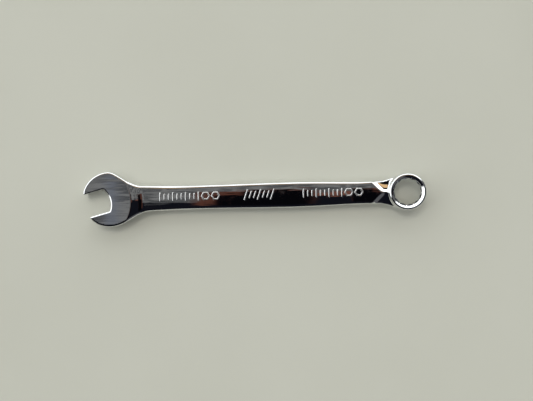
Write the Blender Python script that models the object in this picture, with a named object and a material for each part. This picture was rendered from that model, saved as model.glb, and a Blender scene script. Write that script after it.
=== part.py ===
"""Combination wrench, 8 mm across flats: one drop forging with an open end, a shank and a twelve-point ring.

Lengths in this file are millimetres, with x = 0 at the open end's centre, +X along the shank to the ring,
+Y across it and +Z up; centre_in_metres() stands the finished forging on the origin and turns it into metres.
The blank is the zero surface of a signed distance, positive outside, and the mouth and ring hole are cut from it.
"""

import math

import bmesh
import bpy
import mathutils
import numpy as np

METRES = 0.001
ACROSS_FLATS = 8.0

# Open end
HEAD_RADIUS = 9.36
HEAD_THICKNESS = 5.0
HEAD_FACE_RADIUS = 13.1
HEAD_FACE_CENTRE = (-5.6, -0.9)
HEAD_FACE_EDGE = 0.4
NECK_SCOOP_RUN = 4.2
SHOULDER_ANGLE = math.radians(57.5)
SHOULDER_DISTANCE = 8.34
MOUTH_ANGLE = math.radians(195.0)
NOSE_REACH = 8.25
NOSE_OFFSET = 2.5
THROAT_RADIUS = 7.0
THROAT_DEPTH = 0.35
THROAT_CORNER = 0.5
MOUTH_CHAMFER_WIDTH = 0.33
MOUTH_CHAMFER_HEIGHT = 0.23
UPPER_NECK_BLEND = 2.3
LOWER_NECK_BLEND = 5.4
OUTLINE_BLEND = 0.8

# Shank: (distance from the open end's centre, value) stations, level at each station
HALF_WIDTHS = ((14.0, 4.42), (31.0, 4.12), (62.0, 4.39), (90.0, 3.82))
EDGE_RADII = ((6.0, 0.7), (20.0, 1.35), (34.0, 0.95), (84.0, 0.95), (94.0, 0.3))
HALF_THICKNESSES = ((12.0, 1.85), (88.0, 1.85), (98.0, 2.0))
MID_HEIGHTS = ((80.0, HEAD_THICKNESS / 2), (110.0, 4.75))
CROWN = 0.14

# Neck at the ring, where the flat top narrows to a ridge
FLAT_HALF_WIDTHS = ((14.0, 10.0), (87.0, 4.8), (93.8, 0.0))
ROOF_SLOPE = 0.8
ROOF_DEPTH = 0.7
ROOF_CROWN = 0.05
VALLEY_BLEND = 0.6
UNDERSIDE_SLOPE = 0.12
RIDGE_BLEND = 0.5

# Ring
RING_X = 101.3
RING_RADIUS = 6.25
RING_HEIGHT = 6.4
RING_BARREL = 0.08
RING_EDGE_RADIUS = 0.8
RING_TILT = math.radians(7.5)
RING_BLEND = 0.8
NECK_CORE_RADIUS = 5.3
NECK_CORE_BLEND = 5.5
CREST_RADIUS = 5.5
# The funnel on each face: (height above the face, radius)
LEAD_IN_PROFILE = ((-2.2, 3.6), (-0.65, 4.6), (0.0, CREST_RADIUS), (1.4, 7.5))
RING_Z = RING_HEIGHT / 2 * math.cos(RING_TILT) + CREST_RADIUS * math.sin(RING_TILT)
HOLE_TURN = math.radians(-6.5)

# Facets
SHANK_START = 12.0
SHANK_END = 86.0
RING_START = 95.5
HEAD_STATIONS = 26
SHANK_STATIONS = 20
NECK_STATIONS = 18
RING_STATIONS = 26
FIRST_STEP = 0.045
LAST_STEP = 0.06
SECTION_POINTS = 52
CORNER_CROWDING = 0.12
HALVINGS = 40
ARC_STEPS = 4
THROAT_STEPS = 10
CONE_SIDES = 48
OVERCUT = 2.0
SHARP_ANGLE = math.radians(35)

CHROME_COLOUR = (0.78, 0.79, 0.80, 1.0)


def clear_scene():
    for obj in list(bpy.data.objects):
        bpy.data.objects.remove(obj, do_unlink=True)


def ramp(start, end, x):
    """Rises from 0 at start to 1 at end, level at both."""
    t = np.clip((x - start) / (end - start), 0.0, 1.0)
    return t * t * (3.0 - 2.0 * t)


def eased(x, stations):
    """The curve through (place, value) stations that runs level at each of them."""
    value = stations[0][1]
    for (start, low), (end, high) in zip(stations, stations[1:]):
        value = value + (high - low) * ramp(start, end, x)
    return value


def blend_union(a, b, size):
    overlap = np.maximum(size - np.abs(a - b), 0.0) / size
    return np.minimum(a, b) - overlap * overlap * size / 4.0


def blend_common(a, b, size):
    return -blend_union(-a, -b, size)


def rounded_slab(side, lid, radius):
    """Distance to the solid inside both a side wall and a pair of lids, with rounded edges."""
    side = side + radius
    lid = lid + radius
    inside = np.minimum(np.maximum(side, lid), 0.0)
    return inside + np.hypot(np.maximum(side, 0.0), np.maximum(lid, 0.0)) - radius


def along(x, y, angle):
    return x * math.cos(angle) + y * math.sin(angle)


def head_outline(x, y):
    disc = np.hypot(x, y) - HEAD_RADIUS
    shoulder = along(x, y, SHOULDER_ANGLE) - SHOULDER_DISTANCE
    nose = along(x, y, MOUTH_ANGLE) - NOSE_REACH
    return blend_common(blend_common(disc, shoulder, OUTLINE_BLEND), nose, OUTLINE_BLEND)


def outline(x, y):
    """Plan distance of the body, which flares into head and ring, most fully on the head's lower flank."""
    shank = np.maximum(np.abs(y) - eased(x, HALF_WIDTHS), np.maximum(-x, x - RING_X))
    neck = blend_union(shank, np.hypot(x - RING_X, y) - NECK_CORE_RADIUS, NECK_CORE_BLEND)
    fullness = LOWER_NECK_BLEND + (UPPER_NECK_BLEND - LOWER_NECK_BLEND) * ramp(-2.0, 2.0, y)
    return blend_union(head_outline(x, y), neck, fullness)


def half_thickness(x, y):
    """From the mid-plane to either face: flat on the head, crowned on the shank, scooped between them."""
    across = y / eased(x, HALF_WIDTHS)
    shank = eased(x, HALF_THICKNESSES) - CROWN * np.minimum(across * across, 1.0)
    past_face = np.hypot(x - HEAD_FACE_CENTRE[0], y - HEAD_FACE_CENTRE[1]) - HEAD_FACE_RADIUS
    past_face = blend_common(past_face, 0.0, HEAD_FACE_EDGE)
    scoop = 1.0 - np.minimum(past_face / NECK_SCOOP_RUN, 1.0)
    return shank + (HEAD_THICKNESS / 2 - shank) * scoop * scoop


def past_flat(x, y):
    """How far a point is out past the flat top, which narrows to a ridge at the ring."""
    return blend_common(np.abs(y) - eased(x, FLAT_HALF_WIDTHS), 0.0, RIDGE_BLEND)


def lids(x, y, z):
    """Distance above the top face or below the underside, whichever is greater."""
    half = half_thickness(x, y)
    outside = past_flat(x, y)
    flank = ROOF_DEPTH + ROOF_CROWN * outside * outside
    roof = blend_union(ROOF_SLOPE * outside, flank, VALLEY_BLEND)
    above = z - mid_height(x)
    return np.maximum(above - half + roof, -above - half + UNDERSIDE_SLOPE * outside)


def mid_height(x):
    return eased(x, MID_HEIGHTS)


def mid_side(x):
    """The middle of the blank across, which bends towards the longer, upper nose."""
    return NOSE_OFFSET * min(x / HEAD_RADIUS, 0.0) ** 2


def body(x, y, z):
    return rounded_slab(outline(x, y), lids(x, y, z), eased(x, EDGE_RADII))


def ring(x, y, z):
    """A barrel-shaped disc whose far side is tipped up."""
    outward = (x - RING_X) * math.cos(RING_TILT) + (z - RING_Z) * math.sin(RING_TILT)
    upward = (z - RING_Z) * math.cos(RING_TILT) - (x - RING_X) * math.sin(RING_TILT)
    level = upward / (RING_HEIGHT / 2)
    side = np.hypot(outward, y) - RING_RADIUS + RING_BARREL * np.minimum(level * level, 1.0)
    return rounded_slab(side, np.abs(upward) - RING_HEIGHT / 2, RING_EDGE_RADIUS)


def blank(x, y, z):
    return blend_union(body(x, y, z), ring(x, y, z), RING_BLEND)


def end_of_blank(outside, inside):
    """Where the middle line of the blank leaves it, between two places along X."""
    for _ in range(HALVINGS):
        middle = (outside + inside) / 2
        if blank(middle, mid_side(middle), mid_height(middle)) < 0.0:
            inside = middle
        else:
            outside = middle
    return inside


def stations(start, end):
    """Cross-section places, crowded where the outline turns fastest: at both ends and both necks."""
    head = (SHANK_START - start) / 2
    left = start + head * (1 - np.cos(np.linspace(FIRST_STEP, math.pi, HEAD_STATIONS)))
    shank = np.linspace(SHANK_START, SHANK_END, SHANK_STATIONS)[1:-1]
    neck = np.linspace(SHANK_END, RING_START, NECK_STATIONS)[:-1]
    half = (end - RING_START) / 2
    right = RING_START + half * (1 - np.cos(np.linspace(0.0, math.pi - LAST_STEP, RING_STATIONS)))
    return np.concatenate([left, shank, neck, right])


def surface_distance(x, y, z):
    """How far the surface is from the blank's middle at station x, in each direction (y, z)."""
    near = np.zeros_like(y)
    far = np.full_like(y, 2 * HEAD_RADIUS)
    for _ in range(HALVINGS):
        middle = (near + far) / 2
        outside = blank(x, mid_side(x) + y * middle, mid_height(x) + z * middle) > 0.0
        far = np.where(outside, middle, far)
        near = np.where(outside, near, middle)
    return near


def section(x):
    """Points of the surface round one cross-section, crowded towards the corners of its box."""
    sideways, upwards = surface_distance(x, np.array([1.0, 0.0]), np.array([0.0, 1.0]))
    turn = 2 * math.pi * np.arange(SECTION_POINTS) / SECTION_POINTS
    turn = turn + CORNER_CROWDING * np.sin(4 * turn)
    y = np.cos(turn) * sideways
    z = np.sin(turn) * upwards
    length = np.hypot(y, z)
    y = y / length
    z = z / length
    distance = surface_distance(x, y, z)
    return [(x, mid_side(x) + a, mid_height(x) + b) for a, b in zip(y * distance, z * distance)]


def lofted(name, loops):
    """A closed mesh through loops of equal length, capped at both ends."""
    mesh = bpy.data.meshes.new(name)
    bm = bmesh.new()
    rows = [[bm.verts.new(point) for point in loop] for loop in loops]
    for row, following in zip(rows, rows[1:]):
        for i in range(len(row)):
            j = (i + 1) % len(row)
            bm.faces.new((row[i], row[j], following[j], following[i]))
    bm.faces.new(reversed(rows[0]))
    bm.faces.new(rows[-1])
    bmesh.ops.recalc_face_normals(bm, faces=bm.faces)
    bm.to_mesh(mesh)
    bm.free()
    obj = bpy.data.objects.new(name, mesh)
    bpy.context.scene.collection.objects.link(obj)
    return obj


def arc(centre, radius, start, end, steps):
    """Points on an arc from the start angle to the end angle, both included."""
    return [
        (centre[0] + radius * math.cos(angle), centre[1] + radius * math.sin(angle))
        for angle in np.linspace(start, end, steps + 1)
    ]


def mouth_outline(margin):
    """The open jaw in plan, grown by margin: u points out of the mouth, v across it."""
    throat_centre = THROAT_RADIUS - THROAT_DEPTH
    corner_v = ACROSS_FLATS / 2 - THROAT_CORNER
    swing = math.acos(corner_v / (THROAT_RADIUS - THROAT_CORNER))
    corner_u = throat_centre - (THROAT_RADIUS - THROAT_CORNER) * math.sin(swing)
    corner = THROAT_CORNER + margin
    down = math.radians(270)
    up = math.radians(90)
    low = arc((corner_u, -corner_v), corner, down, down - swing, ARC_STEPS)
    throat = arc((throat_centre, 0.0), THROAT_RADIUS + margin, down - swing, up + swing, THROAT_STEPS)
    high = arc((corner_u, corner_v), corner, up + swing, up, ARC_STEPS)
    half = ACROSS_FLATS / 2 + margin
    mouth = 2 * HEAD_RADIUS
    return [(mouth, -half)] + low + throat[1:-1] + high + [(mouth, half)]


def mouth_cutter():
    widest = MOUTH_CHAMFER_WIDTH * (1 + OVERCUT / MOUTH_CHAMFER_HEIGHT)
    levels = (
        (-OVERCUT, widest),
        (MOUTH_CHAMFER_HEIGHT, 0.0),
        (HEAD_THICKNESS - MOUTH_CHAMFER_HEIGHT, 0.0),
        (HEAD_THICKNESS + OVERCUT, widest),
    )
    cos = math.cos(MOUTH_ANGLE)
    sin = math.sin(MOUTH_ANGLE)
    loops = [
        [(u * cos - v * sin, u * sin + v * cos, height) for u, v in mouth_outline(margin)]
        for height, margin in levels
    ]
    return lofted("mouth_cutter", loops)


def on_ring_axis(points, upward):
    """Places (outward, sideways) points at a height on the tilted axis of the ring."""
    cos = math.cos(RING_TILT)
    sin = math.sin(RING_TILT)
    return [
        (RING_X + outward * cos - upward * sin, sideways, RING_Z + outward * sin + upward * cos)
        for outward, sideways in points
    ]


def hole_cutter():
    """The twelve-point hole: two hexagons, one turned 30 degrees, whose flats are all at half the size."""
    outer = ACROSS_FLATS / 2 / math.cos(math.radians(30))
    inner = ACROSS_FLATS / 2 / math.cos(math.radians(15))
    star = []
    for i in range(24):
        angle = HOLE_TURN + math.radians(15 * i)
        radius = inner if i % 2 else outer
        star.append((radius * math.cos(angle), radius * math.sin(angle)))
    reach = RING_HEIGHT / 2 + OVERCUT
    return lofted("hole_cutter", [on_ring_axis(star, -reach), on_ring_axis(star, reach)])


def lead_in_cutter(side):
    """The two-step funnel from the rim's crest into the hole, on the upper (+1) or lower (-1) face."""
    loops = []
    for height, radius in LEAD_IN_PROFILE:
        rim = arc((0.0, 0.0), radius, 0.0, 2 * math.pi, CONE_SIDES)[:-1]
        loops.append(on_ring_axis(rim, side * (RING_HEIGHT / 2 + height)))
    return lofted("lead_in_cutter", loops)


def cut(obj, cutter):
    cutter.hide_render = True
    cutter.display_type = "WIRE"
    modifier = obj.modifiers.new(cutter.name, "BOOLEAN")
    modifier.operation = "DIFFERENCE"
    modifier.solver = "EXACT"
    modifier.object = cutter


def chrome():
    material = bpy.data.materials.new("polished_chrome")
    material.use_nodes = True
    shader = material.node_tree.nodes["Principled BSDF"]
    shader.inputs["Base Color"].default_value = CHROME_COLOUR
    shader.inputs["Metallic"].default_value = 1.0
    shader.inputs["Roughness"].default_value = 0.08
    return material


def build_wrench():
    start = end_of_blank(-2 * HEAD_RADIUS, 0.0)
    end = end_of_blank(RING_X + 2 * RING_RADIUS, RING_X)
    wrench = lofted("wrench_body", [section(x) for x in stations(start, end)])
    wrench.data.materials.append(chrome())
    wrench.data.shade_smooth()
    wrench.data.set_sharp_from_angle(angle=SHARP_ANGLE)
    for cutter in (mouth_cutter(), hole_cutter(), lead_in_cutter(1), lead_in_cutter(-1)):
        cut(wrench, cutter)
    return wrench


def finished_box(obj):
    """Lowest and highest corners of an object with its cuts made."""
    bpy.context.view_layer.update()
    mesh = obj.evaluated_get(bpy.context.evaluated_depsgraph_get()).to_mesh()
    points = np.array([vertex.co for vertex in mesh.vertices])
    return points.min(axis=0), points.max(axis=0)


def centre_in_metres(wrench):
    """Stands the wrench on the origin, with its box centred over it, and turns millimetres into metres."""
    low, high = finished_box(wrench)
    middle = (low + high) / 2
    place = mathutils.Matrix.Translation((-middle[0], -middle[1], -low[2]))
    for obj in bpy.data.objects:
        obj.data.transform(mathutils.Matrix.Scale(METRES, 4) @ place)


def main():
    clear_scene()
    centre_in_metres(build_wrench())


main()
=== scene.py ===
"""The chromed combination wrench in a plain studio, seen from straight above.

The forging's shape is worked out in millimetres, with x = 0 at the open end's centre, +X along the shank,
+Y across it and +Z up, as in the CAD part. placement() then lays it over the CAD solid's box, in metres,
and from there on lengths are metres: the finishes, the lights, the floor and the camera.
"""

import math

import bpy
import mathutils
import numpy as np
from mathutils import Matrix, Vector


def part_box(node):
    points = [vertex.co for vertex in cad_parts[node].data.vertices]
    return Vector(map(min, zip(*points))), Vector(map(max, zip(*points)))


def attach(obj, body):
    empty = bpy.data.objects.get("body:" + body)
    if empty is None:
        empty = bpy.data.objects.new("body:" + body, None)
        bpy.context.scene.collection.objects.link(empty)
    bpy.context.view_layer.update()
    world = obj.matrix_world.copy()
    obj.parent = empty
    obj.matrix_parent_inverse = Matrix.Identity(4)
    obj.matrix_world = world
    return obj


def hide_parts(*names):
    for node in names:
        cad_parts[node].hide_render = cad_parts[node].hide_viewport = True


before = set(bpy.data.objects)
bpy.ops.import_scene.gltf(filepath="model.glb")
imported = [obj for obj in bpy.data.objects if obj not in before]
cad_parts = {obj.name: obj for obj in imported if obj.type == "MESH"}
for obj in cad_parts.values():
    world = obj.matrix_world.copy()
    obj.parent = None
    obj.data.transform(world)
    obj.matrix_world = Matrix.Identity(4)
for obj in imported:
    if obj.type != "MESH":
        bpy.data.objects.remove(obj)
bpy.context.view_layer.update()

NODE = "wrench_body"
METRES = 0.001
ACROSS_FLATS = 8.0

# Open end
HEAD_RADIUS = 9.36
HEAD_THICKNESS = 5.0
HEAD_FACE_RADIUS = 13.1
HEAD_FACE_CENTRE = (-5.6, -0.9)
HEAD_FACE_EDGE = 0.4
NECK_SCOOP_RUN = 4.2
SHOULDER_ANGLE = math.radians(57.5)
SHOULDER_DISTANCE = 8.34
MOUTH_ANGLE = math.radians(195.0)
NOSE_REACH = 8.25
THROAT_RADIUS = 7.0
THROAT_DEPTH = 0.35
THROAT_CORNER = 0.5
MOUTH_CHAMFER_WIDTH = 0.33
MOUTH_CHAMFER_HEIGHT = 0.23
UPPER_NECK_BLEND = 2.3
LOWER_NECK_BLEND = 5.4
OUTLINE_BLEND = 0.8
FLANK_CHANGE = 2.0

# Shank: (distance from the open end's centre, value) stations, level at each station
HALF_WIDTHS = ((14.0, 4.42), (31.0, 4.12), (62.0, 4.39), (90.0, 3.82))
EDGE_RADII = ((6.0, 0.7), (20.0, 1.35), (34.0, 0.95), (84.0, 0.95), (94.0, 0.3))
HALF_THICKNESSES = ((12.0, 1.85), (88.0, 1.85), (98.0, 2.0))
MID_HEIGHTS = ((80.0, HEAD_THICKNESS / 2), (110.0, 4.75))
CROWN = 0.14

# Neck at the ring, where the flat top narrows to a ridge
FLAT_HALF_WIDTHS = ((14.0, 10.0), (87.0, 4.8), (93.8, 0.0))
ROOF_SLOPE = 0.8
ROOF_DEPTH = 0.7
ROOF_CROWN = 0.05
VALLEY_BLEND = 0.6
UNDERSIDE_SLOPE = 0.12
RIDGE_BLEND = 0.5

# Ring
RING_X = 101.3
RING_RADIUS = 6.25
RING_HEIGHT = 6.4
RING_BARREL = 0.08
RING_EDGE_RADIUS = 0.8
RING_TILT = math.radians(7.5)
RING_BLEND = 0.8
NECK_CORE_RADIUS = 5.3
NECK_CORE_BLEND = 5.5
CREST_RADIUS = 5.5
LEAD_IN_PROFILE = ((-2.2, 3.6), (-0.65, 4.6), (0.0, CREST_RADIUS), (1.4, 7.5))
RING_Z = RING_HEIGHT / 2 * math.cos(RING_TILT) + CREST_RADIUS * math.sin(RING_TILT)
HOLE_POINTS = 12
HOLE_TURN = math.radians(-6.5)
# Room for the tilted ring past its radius and above its height
RING_TIP_ROOM = 1.0
RING_RISE_ROOM = 2.0

# Mesh
CELL = 0.25
ARC_STEPS = 8
THROAT_STEPS = 40
CONE_SIDES = 160
OVERCUT = 2.0
SHARP_ANGLE = math.radians(25)
ON_SURFACE = 0.02
SETTLING_STEPS = 6
LEAST_STEEPNESS = 0.05

# Raised marks on the shank: generic bars and nut outlines, placed from the open end's centre
MARK_HEIGHT = 0.16
MARK_SINK = 0.15
MARK_WIDTH = 0.55
MARK_SIDES = 8
MARK_FULLNESS = 0.6
MARK_TIP_LIFT = 0.25
MARK_SHARP_ANGLE = math.radians(60)
# (distance past a mark's end, width there), as shares of its half width and of its width
MARK_TIPS = ((1.0, 0.12), (0.7, 0.72))
GAUGE_STARTS = (17.2, 66.0)
GAUGE_BARS = 10
GAUGE_PITCH = 1.45
GAUGE_HALF_HEIGHTS = (1.3, 0.85, 0.85)
GAUGE_Y = 0.3
NUT_OFFSETS = (15.4, 18.8)
NUT_RADIUS = 1.3
LEANING_START = 46.4
LEANING_BARS = 7
LEANING_PITCH = 1.5
LEANING_HALF_HEIGHTS = (1.6, 1.0, 1.0)
LEANING_Y = 0.35
LEAN = 0.35

# Finishes. Each noise is stretched by cycles per metre, and a range is where it turns from low to high.
CHROME_COLOUR = (0.82, 0.83, 0.845, 1.0)
EVEN_RANGE = (0.3, 0.7)
SMUDGES = (500.0, 500.0, 500.0)
SMUDGE_RANGE = (0.45, 0.75)
SMUDGE_ROUGHNESS = (0.035, 0.09)
POLISHING_LINES = (250.0, 9000.0, 9000.0)
LINE_DEPTH = 0.000001
LINE_STRENGTHS = (0.15, 0.4)
SATIN_ROUGHNESS = (0.05, 0.08)
FORGING_WAVES = (60.0, 420.0, 420.0)
WAVE_DEPTH = 0.00004
# The satin ends across this band of radius (millimetres) and this band of height below the face (metres)
SATIN_RADIUS_BAND = (0.1, -0.2)
SATIN_HEIGHT_BAND = (0.00004, 0.00001)
MARK_COLOUR = (0.9, 0.9, 0.9, 1.0)
MARK_GRAIN = 9000.0
MARK_ROUGHNESS = (0.3, 0.42)
FLOOR_CLOUD = 14.0
FLOOR_COLOURS = ((0.565, 0.575, 0.505, 1.0), (0.585, 0.595, 0.525, 1.0))
FLOOR_ROUGHNESS = 0.6
FLOOR_HALF_SIZE = 2.5

# What the chrome mirrors. A directional fade is a range of the cosine to that direction.
DARK_SIDE = (0.006, 0.0065, 0.010, 1.0)
CEILING_PLANE = (-0.19, 1.0, 0.02)
CEILING_EDGE = 0.012
CEILING_CLOUD = (16.0, 40.0, 9.0)
CEILING_RANGE = (0.38, 0.62)
CEILING_GREYS = ((0.06, 0.062, 0.065, 1.0), (0.2, 0.2, 0.195, 1.0))
WINDOW_WALL = (117, 0)
WINDOW_WALL_FADE = (0.08, 0.25)
WINDOW_WALL_TOP = (0.82, 0.62)
WINDOW_WALL_COLOUR = (1.9, 1.95, 1.95, 1.0)
FAR_WALL = (-45, 20)
FAR_WALL_FADE = (0.82, 0.94)
FAR_WALL_COLOUR = (0.1, 0.1, 0.105, 1.0)
BACKDROP = (0.72, 0.72, 0.66, 1.0)
# Panels overhead: (centre, half size, softness, colour), the first three in steps sideways for each step up
OVERHEAD = (
    # The lighter sheen on the head's faces, the warm and dark bands on the necks
    ((-0.262, -0.005), (0.008, 0.05), 0.008, (0.15, 0.165, 0.20, 1.0)),
    ((-0.1, 0.57), (0.55, 0.11), 0.02, (0.80, 0.52, 0.26, 1.0)),
    ((-0.1, 0.95), (0.55, 0.25), 0.02, (0.004, 0.004, 0.005, 1.0)),
    # Warm streaks along the shank
    ((-0.02, -0.02), (0.10, 0.09), 0.008, (0.09, 0.035, 0.024, 1.0)),
    ((0.125, 0.015), (0.09, 0.018), 0.006, (0.16, 0.065, 0.045, 1.0)),
    # The camera over the middle
    ((-0.06, -0.06), (0.03, 0.09), 0.006, (0.002, 0.002, 0.003, 1.0)),
    ((0.02, -0.06), (0.06, 0.12), 0.006, (0.002, 0.002, 0.003, 1.0)),
)
LEAST_RISE = 0.001
PANELS_FROM_RISE = 0.05

# Lights: (name, azimuth and elevation, distance, size, power), in degrees, metres and watts
LIGHTS = (
    ("window_light", (117, 66), 1.3, 0.3, 2.3),
    ("overhead_light", (90, 85), 1.2, 1.6, 5.5),
    ("fill_light", (-75, 50), 1.3, 1.4, 2.8),
)
LIGHT_COLOUR = (1.0, 0.99, 0.96)

# Camera, looking straight down
CAMERA_PLACE = (0.00388, -0.00175, 0.205)
CAMERA_TURN = math.radians(-1.5)
CAMERA_LENS = 39.95
CAMERA_SENSOR = 36.0
CAMERA_CLIP = 0.01


def ramp(start, end, x):
    """Rises from 0 at start to 1 at end, level at both."""
    t = np.clip((x - start) / (end - start), 0.0, 1.0)
    return t * t * (3.0 - 2.0 * t)


def eased(x, stations):
    """The curve through (place, value) stations that runs level at each of them."""
    value = stations[0][1]
    for (start, low), (end, high) in zip(stations, stations[1:]):
        value = value + (high - low) * ramp(start, end, x)
    return value


def blend_union(a, b, size):
    overlap = np.maximum(size - np.abs(a - b), 0.0) / size
    return np.minimum(a, b) - overlap * overlap * size / 4.0


def blend_common(a, b, size):
    return -blend_union(-a, -b, size)


def rounded_slab(side, lid, radius):
    """Distance to the solid inside both a side wall and a pair of lids, with rounded edges."""
    side = side + radius
    lid = lid + radius
    inside = np.minimum(np.maximum(side, lid), 0.0)
    return inside + np.hypot(np.maximum(side, 0.0), np.maximum(lid, 0.0)) - radius


def along(x, y, angle):
    return x * math.cos(angle) + y * math.sin(angle)


def head_outline(x, y):
    disc = np.hypot(x, y) - HEAD_RADIUS
    shoulder = along(x, y, SHOULDER_ANGLE) - SHOULDER_DISTANCE
    nose = along(x, y, MOUTH_ANGLE) - NOSE_REACH
    return blend_common(blend_common(disc, shoulder, OUTLINE_BLEND), nose, OUTLINE_BLEND)


def outline(x, y):
    """Plan distance of the body, which flares into head and ring, most fully on the head's lower flank."""
    shank = np.maximum(np.abs(y) - eased(x, HALF_WIDTHS), np.maximum(-x, x - RING_X))
    neck = blend_union(shank, np.hypot(x - RING_X, y) - NECK_CORE_RADIUS, NECK_CORE_BLEND)
    fullness = LOWER_NECK_BLEND + (UPPER_NECK_BLEND - LOWER_NECK_BLEND) * ramp(-FLANK_CHANGE, FLANK_CHANGE, y)
    return blend_union(head_outline(x, y), neck, fullness)


def mid_height(x):
    return eased(x, MID_HEIGHTS)


def half_thickness(x, y):
    """From the mid-plane to either face: flat on the head, crowned on the shank, scooped between them."""
    across = y / eased(x, HALF_WIDTHS)
    shank = eased(x, HALF_THICKNESSES) - CROWN * np.minimum(across * across, 1.0)
    past_face = np.hypot(x - HEAD_FACE_CENTRE[0], y - HEAD_FACE_CENTRE[1]) - HEAD_FACE_RADIUS
    past_face = blend_common(past_face, 0.0, HEAD_FACE_EDGE)
    scoop = 1.0 - np.minimum(past_face / NECK_SCOOP_RUN, 1.0)
    return shank + (HEAD_THICKNESS / 2 - shank) * scoop * scoop


def past_flat(x, y):
    """How far a point is out past the flat top, which narrows to a ridge at the ring."""
    return blend_common(np.abs(y) - eased(x, FLAT_HALF_WIDTHS), 0.0, RIDGE_BLEND)


def lids(x, y, z):
    """Distance above the top face or below the underside, whichever is greater."""
    half = half_thickness(x, y)
    outside = past_flat(x, y)
    flank = ROOF_DEPTH + ROOF_CROWN * outside * outside
    roof = blend_union(ROOF_SLOPE * outside, flank, VALLEY_BLEND)
    above = z - mid_height(x)
    return np.maximum(above - half + roof, -above - half + UNDERSIDE_SLOPE * outside)


def body(x, y, z):
    return rounded_slab(outline(x, y), lids(x, y, z), eased(x, EDGE_RADII))


def ring(x, y, z):
    """A barrel-shaped disc whose far side is tipped up."""
    outward = (x - RING_X) * math.cos(RING_TILT) + (z - RING_Z) * math.sin(RING_TILT)
    upward = (z - RING_Z) * math.cos(RING_TILT) - (x - RING_X) * math.sin(RING_TILT)
    level = upward / (RING_HEIGHT / 2)
    side = np.hypot(outward, y) - RING_RADIUS + RING_BARREL * np.minimum(level * level, 1.0)
    return rounded_slab(side, np.abs(upward) - RING_HEIGHT / 2, RING_EDGE_RADIUS)


def blank(points):
    """Signed distance of points, a (3, ...) array, from the forging before its mouth and hole are cut."""
    x, y, z = points
    return blend_union(body(x, y, z), ring(x, y, z), RING_BLEND)


def slope(points, step=0.01):
    """The gradient of blank() at points, a (3, n) array."""
    moves = np.eye(3)[:, :, None] * step
    return np.array([(blank(points + move) - blank(points - move)) / (2 * step) for move in moves])


def settled(points):
    """The points moved onto the blank's surface."""
    for _ in range(SETTLING_STEPS):
        gradient = slope(points)
        steepness = np.maximum((gradient * gradient).sum(axis=0), LEAST_STEEPNESS)
        points = points - np.clip(blank(points) / steepness, -CELL, CELL) * gradient
    return points


def surface_net(low, high):
    """Vertices and quads of the blank's surface, one vertex in each grid cell that the surface crosses."""
    axes = [np.arange(start, end + CELL, CELL) for start, end in zip(low, high)]
    inside = blank(np.meshgrid(*axes, indexing="ij", sparse=True)) < 0.0
    corners = sum(
        inside[i : i - 1 or None, j : j - 1 or None, k : k - 1 or None].astype(int)
        for i in (0, 1)
        for j in (0, 1)
        for k in (0, 1)
    )
    crossed = (corners > 0) & (corners < 8)
    number = np.full(crossed.shape, -1)
    number[crossed] = np.arange(crossed.sum())
    centres = np.array(low)[:, None] + (np.array(np.nonzero(crossed)) + 0.5) * CELL
    quads = []
    for axis in range(3):
        near = np.moveaxis(inside, axis, 0)
        cells = np.moveaxis(number, axis, 0)
        leaves = near[:-1, 1:-1, 1:-1] & ~near[1:, 1:-1, 1:-1]
        enters = ~near[:-1, 1:-1, 1:-1] & near[1:, 1:-1, 1:-1]
        around = [cells[:, :-1, :-1], cells[:, 1:, :-1], cells[:, 1:, 1:], cells[:, :-1, 1:]]
        if axis == 1:
            leaves, enters = enters, leaves
        quads.append(np.stack([corner[leaves] for corner in around], axis=1))
        quads.append(np.stack([corner[enters] for corner in reversed(around)], axis=1))
    return settled(centres).T, np.concatenate(quads)


def add_mesh(name, vertices, faces):
    mesh = bpy.data.meshes.new(name)
    mesh.from_pydata(np.asarray(vertices).tolist(), [], [list(map(int, face)) for face in faces])
    mesh.validate()
    obj = bpy.data.objects.new(name, mesh)
    bpy.context.scene.collection.objects.link(obj)
    return obj


def lofted(name, loops):
    """A closed mesh through equal loops that run anticlockwise seen from the last, capped at both ends."""
    size = len(loops[0])
    faces = [list(reversed(range(size))), list(range(size * (len(loops) - 1), size * len(loops)))]
    for row in range(len(loops) - 1):
        for i in range(size):
            j = (i + 1) % size
            faces.append([row * size + i, row * size + j, (row + 1) * size + j, (row + 1) * size + i])
    return add_mesh(name, [point for loop in loops for point in loop], faces)


def arc(centre, radius, start, end, steps):
    """Points on an arc from the start angle to the end angle, both included."""
    return [
        (centre[0] + radius * math.cos(angle), centre[1] + radius * math.sin(angle))
        for angle in np.linspace(start, end, steps + 1)
    ]


def mouth_outline(margin):
    """The open jaw in plan, grown by margin: u points out of the mouth, v across it."""
    throat_centre = THROAT_RADIUS - THROAT_DEPTH
    corner_v = ACROSS_FLATS / 2 - THROAT_CORNER
    swing = math.acos(corner_v / (THROAT_RADIUS - THROAT_CORNER))
    corner_u = throat_centre - (THROAT_RADIUS - THROAT_CORNER) * math.sin(swing)
    corner = THROAT_CORNER + margin
    down = math.radians(270)
    up = math.radians(90)
    low = arc((corner_u, -corner_v), corner, down, down - swing, ARC_STEPS)
    throat = arc((throat_centre, 0.0), THROAT_RADIUS + margin, down - swing, up + swing, THROAT_STEPS)
    high = arc((corner_u, corner_v), corner, up + swing, up, ARC_STEPS)
    half = ACROSS_FLATS / 2 + margin
    mouth = 2 * HEAD_RADIUS
    clockwise = [(mouth, -half)] + low + throat[1:-1] + high + [(mouth, half)]
    return clockwise[::-1]


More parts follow.
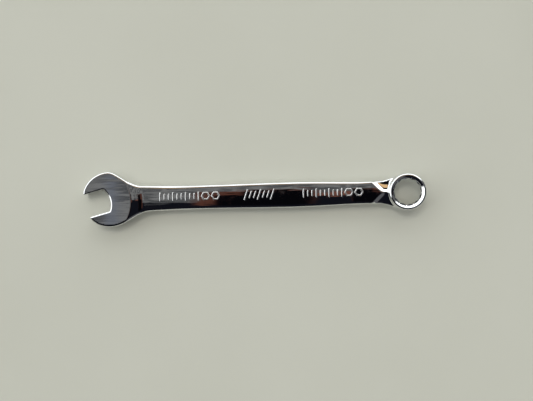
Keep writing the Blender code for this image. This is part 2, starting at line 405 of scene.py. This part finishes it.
def mouth_cutter():
    widest = MOUTH_CHAMFER_WIDTH * (1 + OVERCUT / MOUTH_CHAMFER_HEIGHT)
    levels = (
        (-OVERCUT, widest),
        (MOUTH_CHAMFER_HEIGHT, 0.0),
        (HEAD_THICKNESS - MOUTH_CHAMFER_HEIGHT, 0.0),
        (HEAD_THICKNESS + OVERCUT, widest),
    )
    cos = math.cos(MOUTH_ANGLE)
    sin = math.sin(MOUTH_ANGLE)
    loops = [
        [(u * cos - v * sin, u * sin + v * cos, height) for u, v in mouth_outline(margin)]
        for height, margin in levels
    ]
    return lofted("mouth_cutter", loops)


def on_ring_axis(points, upward):
    """Places (outward, sideways) points at a height on the tilted axis of the ring."""
    cos = math.cos(RING_TILT)
    sin = math.sin(RING_TILT)
    return [
        (RING_X + outward * cos - upward * sin, sideways, RING_Z + outward * sin + upward * cos)
        for outward, sideways in points
    ]


def hole_cutter():
    """The twelve-point hole: two hexagons, one turned 30 degrees, whose flats are all at half the size."""
    step = 180 / HOLE_POINTS
    outer = ACROSS_FLATS / 2 / math.cos(math.radians(2 * step))
    inner = ACROSS_FLATS / 2 / math.cos(math.radians(step))
    star = []
    for i in range(2 * HOLE_POINTS):
        angle = HOLE_TURN + math.radians(step * i)
        radius = inner if i % 2 else outer
        star.append((radius * math.cos(angle), radius * math.sin(angle)))
    reach = RING_HEIGHT / 2 + OVERCUT
    return lofted("hole_cutter", [on_ring_axis(star, -reach), on_ring_axis(star, reach)])


def lead_in_cutter(side):
    """The two-step funnel from the rim's crest into the hole, on the upper (+1) or lower (-1) face."""
    loops = []
    for height, radius in LEAD_IN_PROFILE:
        rim = arc((0.0, 0.0), radius, 0.0, 2 * math.pi, CONE_SIDES)[:-1]
        loops.append(on_ring_axis(rim, side * (RING_HEIGHT / 2 + height)))
    return lofted("lead_in_cutter", loops if side > 0 else loops[::-1])


def cut(obj, cutters):
    """Makes the cuts and leaves the finished mesh in obj."""
    for cutter in cutters:
        modifier = obj.modifiers.new(cutter.name, "BOOLEAN")
        modifier.operation = "DIFFERENCE"
        modifier.solver = "MANIFOLD"
        modifier.object = cutter
    bpy.context.view_layer.update()
    finished = bpy.data.meshes.new_from_object(obj.evaluated_get(bpy.context.evaluated_depsgraph_get()))
    obj.modifiers.clear()
    obj.data = finished
    for cutter in cutters:
        bpy.data.objects.remove(cutter, do_unlink=True)


def smooth_normals(mesh):
    """Gives the forged skin its exact normals, so that it mirrors cleanly; cut faces keep their own."""
    mesh.shade_smooth()
    mesh.set_sharp_from_angle(angle=SHARP_ANGLE)
    points = np.array([vertex.co for vertex in mesh.vertices]).T
    centres = np.array([polygon.center for polygon in mesh.polygons]).T
    corners = np.array([loop.vertex_index for loop in mesh.loops])
    lengths = np.array([polygon.loop_total for polygon in mesh.polygons])
    skin_vertex = np.abs(blank(points)) < ON_SURFACE
    vertices_off = np.add.reduceat(~skin_vertex[corners], np.concatenate([[0], np.cumsum(lengths)[:-1]]))
    skin = (vertices_off == 0) & (np.abs(blank(centres)) < 4 * ON_SURFACE)
    normals = slope(points)
    normals = (normals / np.linalg.norm(normals, axis=0)).T[corners]
    normals[~np.repeat(skin, lengths)] = 0.0
    mesh.normals_split_custom_set(normals.tolist())


def top_of_shank(x, y):
    return mid_height(x) + half_thickness(x, y)


def stroke(points):
    """Vertices and faces of one raised mark: a low round-topped rib along (x, y) points on the top."""
    points = np.array(points, float)
    steps = np.diff(points, axis=0)
    places = [points[0]]
    for start, step in zip(points, steps):
        pieces = max(int(np.hypot(*step) / CELL), 1)
        places += [start + step * (i + 1) / pieces for i in range(pieces)]
    places = np.array(places)
    headings = np.gradient(places, axis=0)
    headings = headings / np.linalg.norm(headings, axis=1)[:, None]
    lead = headings[0] * MARK_WIDTH / 2
    trail = headings[-1] * MARK_WIDTH / 2
    across = np.stack([-headings[:, 1], headings[:, 0]], axis=1)
    rows = [(places[0] - lead * past, across[0], size) for past, size in MARK_TIPS]
    rows += [(place, side, 1.0) for place, side in zip(places, across)]
    rows += [(places[-1] + trail * past, across[-1], size) for past, size in reversed(MARK_TIPS)]
    turns = np.linspace(0.0, math.pi, MARK_SIDES + 1)
    vertices = []
    for place, side, size in rows:
        for turn in turns:
            x, y = place + side * math.cos(turn) * MARK_WIDTH / 2 * size
            rise = math.sin(turn) ** MARK_FULLNESS
            lift = (MARK_HEIGHT + MARK_SINK) * rise * min(size + MARK_TIP_LIFT, 1.0) - MARK_SINK
            vertices.append((x, y, top_of_shank(x, y) + lift))
    count = len(turns)
    faces = []
    for row in range(len(rows) - 1):
        for i in range(count):
            j = (i + 1) % count
            faces.append((row * count + i, row * count + j, (row + 1) * count + j, (row + 1) * count + i))
    faces.append(tuple(reversed(range(count))))
    faces.append(tuple(range(len(vertices) - count, len(vertices))))
    return vertices, faces


def hexagon(x, y, radius):
    turns = np.radians(np.arange(0, 361, 60))
    return [(x + radius * math.cos(turn), y + radius * math.sin(turn)) for turn in turns]


def mark_lines():
    """The generic marks: a row of bars and two nut outlines near each end, and leaning bars in the middle."""
    lines = []
    for start in GAUGE_STARTS:
        for i in range(GAUGE_BARS):
            x = start + GAUGE_PITCH * i
            tall = GAUGE_HALF_HEIGHTS[i % len(GAUGE_HALF_HEIGHTS)]
            lines.append([(x, GAUGE_Y - tall), (x, GAUGE_Y + tall)])
        for offset in NUT_OFFSETS:
            lines.append(hexagon(start + offset, GAUGE_Y, NUT_RADIUS))
    for i in range(LEANING_BARS):
        x = LEANING_START + LEANING_PITCH * i
        tall = LEANING_HALF_HEIGHTS[i % len(LEANING_HALF_HEIGHTS)]
        lines.append([(x - LEAN * tall, LEANING_Y - tall), (x + LEAN * tall, LEANING_Y + tall)])
    return lines


def raised_marks():
    vertices = []
    faces = []
    for line in mark_lines():
        points, sides = stroke(line)
        faces += [[len(vertices) + i for i in side] for side in sides]
        vertices += points
    return add_mesh("raised_marks", vertices, faces)


def placement(obj):
    """The matrix that lays the forging over the CAD solid's box, in metres."""
    points = np.array([vertex.co for vertex in obj.data.vertices])
    low = mathutils.Vector(points.min(axis=0))
    size = mathutils.Vector(points.max(axis=0)) - low
    box_low, box_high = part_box(NODE)
    box_size = box_high - box_low
    scale = mathutils.Matrix.Diagonal([box_size[i] / size[i] for i in range(3)]).to_4x4()
    return mathutils.Matrix.Translation(box_low) @ scale @ mathutils.Matrix.Translation(-low)


class Nodes:
    """Shorthand for building a node tree."""

    def __init__(self, tree):
        self.tree = tree

    def add(self, kind, inputs=None, **settings):
        node = self.tree.nodes.new(kind)
        for name, value in settings.items():
            setattr(node, name, value)
        for name, value in (inputs or {}).items():
            self.put(node.inputs[name], value)
        return node

    def put(self, socket, value):
        if isinstance(value, bpy.types.NodeSocket):
            self.tree.links.new(value, socket)
        else:
            socket.default_value = value

    def math(self, operation, *values):
        inputs = dict(enumerate(values))
        return self.add("ShaderNodeMath", inputs, operation=operation).outputs[0]

    def dot(self, a, b):
        return self.vector("DOT_PRODUCT", a, b).outputs["Value"]

    def vector(self, operation, *values):
        return self.add("ShaderNodeVectorMath", dict(enumerate(values)), operation=operation)

    def fade(self, value, start, end, low=0.0, high=1.0):
        """Goes smoothly from low at start to high at end."""
        inputs = {"Value": value, "From Min": start, "From Max": end, "To Min": low, "To Max": high}
        return self.add("ShaderNodeMapRange", inputs, interpolation_type="SMOOTHSTEP").outputs["Result"]

    def mix(self, factor, a, b):
        node = self.add("ShaderNodeMix", data_type="RGBA")
        self.put(node.inputs[0], factor)
        self.put(node.inputs[6], a)
        self.put(node.inputs[7], b)
        return node.outputs[2]

    def noise(self, vector, scale, detail):
        inputs = {"Vector": vector, "Scale": scale, "Detail": detail}
        return self.add("ShaderNodeTexNoise", inputs).outputs["Fac"]

    def stretched(self, vector, sizes):
        return self.add("ShaderNodeMapping", {"Vector": vector, "Scale": sizes}).outputs["Vector"]


def new_material(name, colour, metallic):
    material = bpy.data.materials.new(name)
    material.use_nodes = True
    shader = material.node_tree.nodes["Principled BSDF"]
    shader.inputs["Base Color"].default_value = colour
    shader.inputs["Metallic"].default_value = metallic
    return material, shader, Nodes(material.node_tree)


def chrome(face_centre):
    """Bright chrome with lines along the shank, slight waviness and satin-ground head faces."""
    material, shader, nodes = new_material("polished_chrome", CHROME_COLOUR, 1.0)
    place = nodes.add("ShaderNodeTexCoord").outputs["Object"]
    from_centre = nodes.vector("SUBTRACT", place, face_centre).outputs[0]
    flat = nodes.vector("MULTIPLY", from_centre, (1, 1, 0)).outputs[0]
    reach = nodes.vector("LENGTH", flat).outputs["Value"]
    on_head = nodes.fade(reach, *[(HEAD_FACE_RADIUS + edge) * METRES for edge in SATIN_RADIUS_BAND])
    height = nodes.add("ShaderNodeSeparateXYZ", {0: from_centre}).outputs["Z"]
    half = HEAD_THICKNESS / 2 * METRES
    on_face = nodes.fade(nodes.math("ABSOLUTE", height), *[half - below for below in SATIN_HEIGHT_BAND])
    ground = nodes.math("MULTIPLY", on_head, on_face)
    swirls = nodes.noise(nodes.stretched(place, SMUDGES), 1.0, 3.0)
    lines = nodes.noise(nodes.stretched(place, POLISHING_LINES), 1.0, 2.0)
    smudges = nodes.fade(swirls, *SMUDGE_RANGE, *SMUDGE_ROUGHNESS)
    satin = nodes.fade(lines, *EVEN_RANGE, *SATIN_ROUGHNESS)
    rough = nodes.add("ShaderNodeMix", data_type="FLOAT")
    nodes.put(rough.inputs[0], ground)
    nodes.put(rough.inputs[2], smudges)
    nodes.put(rough.inputs[3], satin)
    nodes.put(shader.inputs["Roughness"], rough.outputs[0])
    waves = nodes.noise(nodes.stretched(place, FORGING_WAVES), 1.0, 2.0)
    wavy = nodes.add("ShaderNodeBump", {"Height": waves, "Distance": WAVE_DEPTH, "Strength": 1.0})
    fine = nodes.add("ShaderNodeBump", {"Height": lines, "Distance": LINE_DEPTH, "Normal": wavy.outputs[0]})
    nodes.put(fine.inputs["Strength"], nodes.fade(ground, 0.0, 1.0, *LINE_STRENGTHS))
    nodes.put(shader.inputs["Normal"], fine.outputs[0])
    return material


def mark_finish():
    """The raised marks' tops are a little duller than the polished shank."""
    material, shader, nodes = new_material("frosted_chrome", MARK_COLOUR, 1.0)
    place = nodes.add("ShaderNodeTexCoord").outputs["Object"]
    grain = nodes.noise(place, MARK_GRAIN, 2.0)
    nodes.put(shader.inputs["Roughness"], nodes.fade(grain, *EVEN_RANGE, *MARK_ROUGHNESS))
    return material


def floor_finish():
    material, shader, nodes = new_material("pale_floor", FLOOR_COLOURS[0], 0.0)
    place = nodes.add("ShaderNodeTexCoord").outputs["Object"]
    cloud = nodes.noise(place, FLOOR_CLOUD, 4.0)
    colour = nodes.mix(nodes.fade(cloud, *EVEN_RANGE), *FLOOR_COLOURS)
    nodes.put(shader.inputs["Base Color"], colour)
    shader.inputs["Roughness"].default_value = FLOOR_ROUGHNESS
    return material


def direction(azimuth, elevation):
    azimuth = math.radians(azimuth)
    elevation = math.radians(elevation)
    return mathutils.Vector(
        (
            math.cos(elevation) * math.cos(azimuth),
            math.cos(elevation) * math.sin(azimuth),
            math.sin(elevation),
        )
    )


def overhead_panel(nodes, way, centre, half_size, softness):
    """A mask for a rectangle overhead. Places are steps sideways for each step up."""
    height = nodes.math("MAXIMUM", nodes.dot(way, (0, 0, 1)), LEAST_RISE)
    mask = nodes.fade(nodes.dot(way, (0, 0, 1)), 0.0, PANELS_FROM_RISE)
    for axis, middle, half in zip(((1, 0, 0), (0, 1, 0)), centre, half_size):
        place = nodes.math("DIVIDE", nodes.dot(way, axis), height)
        off = nodes.math("ABSOLUTE", nodes.math("SUBTRACT", place, middle))
        mask = nodes.math("MULTIPLY", mask, nodes.fade(off, half + softness, half - softness))
    return mask


def room():
    """Soft surroundings: a bright window wall, a grey ceiling, and a dark side with a dim far wall."""
    world = bpy.data.worlds.new("room")
    bpy.context.scene.world = world
    world.use_nodes = True
    nodes = Nodes(world.node_tree)
    background = world.node_tree.nodes["Background"]
    way = nodes.add("ShaderNodeTexCoord").outputs["Generated"]
    up = nodes.dot(way, (0, 0, 1))
    ceiling = nodes.fade(nodes.dot(way, CEILING_PLANE), -CEILING_EDGE, CEILING_EDGE)
    cloud = nodes.noise(nodes.stretched(way, CEILING_CLOUD), 1.0, 3.0)
    greys = nodes.mix(nodes.fade(cloud, *CEILING_RANGE), *CEILING_GREYS)
    colour = nodes.mix(ceiling, DARK_SIDE, greys)
    wall = nodes.fade(nodes.dot(way, direction(*WINDOW_WALL)), *WINDOW_WALL_FADE)
    wall = nodes.math("MULTIPLY", wall, nodes.fade(up, *WINDOW_WALL_TOP))
    colour = nodes.mix(wall, colour, WINDOW_WALL_COLOUR)
    far_wall = nodes.fade(nodes.dot(way, direction(*FAR_WALL)), *FAR_WALL_FADE)
    colour = nodes.mix(far_wall, colour, FAR_WALL_COLOUR)
    for centre, half_size, softness, tint in OVERHEAD:
        mask = overhead_panel(nodes, way, centre, half_size, softness)
        colour = nodes.mix(mask, colour, tint)
    seen = nodes.add("ShaderNodeLightPath").outputs["Is Camera Ray"]
    nodes.put(background.inputs["Color"], nodes.mix(seen, colour, BACKDROP))


def soft_light(name, way, distance, size, power):
    """A square soft light aimed at the wrench. The chrome mirrors the room and not the light itself."""
    light = bpy.data.lights.new(name, "AREA")
    light.size = size
    light.energy = power
    light.color = LIGHT_COLOUR
    obj = bpy.data.objects.new(name, light)
    bpy.context.scene.collection.objects.link(obj)
    obj.location = way * distance
    obj.rotation_euler = (-way).to_track_quat("-Z", "Y").to_euler()
    obj.visible_glossy = False


def floor():
    half = FLOOR_HALF_SIZE
    corners = [(-half, -half, 0), (half, -half, 0), (half, half, 0), (-half, half, 0)]
    obj = add_mesh("floor", corners, [(0, 1, 2, 3)])
    obj.data.materials.append(floor_finish())


def camera():
    data = bpy.data.cameras.new("camera")
    data.sensor_width = CAMERA_SENSOR
    data.lens = CAMERA_LENS
    data.clip_start = CAMERA_CLIP
    obj = bpy.data.objects.new("camera", data)
    bpy.context.scene.collection.objects.link(obj)
    obj.location = CAMERA_PLACE
    obj.rotation_euler = (0.0, 0.0, CAMERA_TURN)
    bpy.context.scene.camera = obj


def build():
    margin = 2 * CELL
    low = (-HEAD_RADIUS - margin, -HEAD_RADIUS - margin, -margin)
    high = (
        RING_X + RING_RADIUS + RING_TIP_ROOM + margin,
        HEAD_RADIUS + margin,
        RING_HEIGHT + RING_RISE_ROOM + margin,
    )
    vertices, quads = surface_net(low, high)
    wrench = add_mesh("chromed_forging", vertices, quads)
    cut(wrench, [mouth_cutter(), hole_cutter(), lead_in_cutter(1), lead_in_cutter(-1)])
    smooth_normals(wrench.data)
    marks = raised_marks()
    marks.data.shade_smooth()
    marks.data.set_sharp_from_angle(angle=MARK_SHARP_ANGLE)
    place = placement(wrench)
    wrench.data.transform(place)
    marks.data.transform(place)
    face_centre = place @ mathutils.Vector((*HEAD_FACE_CENTRE, HEAD_THICKNESS / 2))
    wrench.data.materials.clear()
    wrench.data.materials.append(chrome(face_centre))
    marks.data.materials.append(mark_finish())
    for piece in (wrench, marks):
        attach(piece, "root")
    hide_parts(NODE)


build()
floor()
room()
for light_name, towards, light_distance, light_size, light_power in LIGHTS:
    soft_light(light_name, direction(*towards), light_distance, light_size, light_power)
camera()
bpy.context.scene.view_settings.view_transform = "Standard"
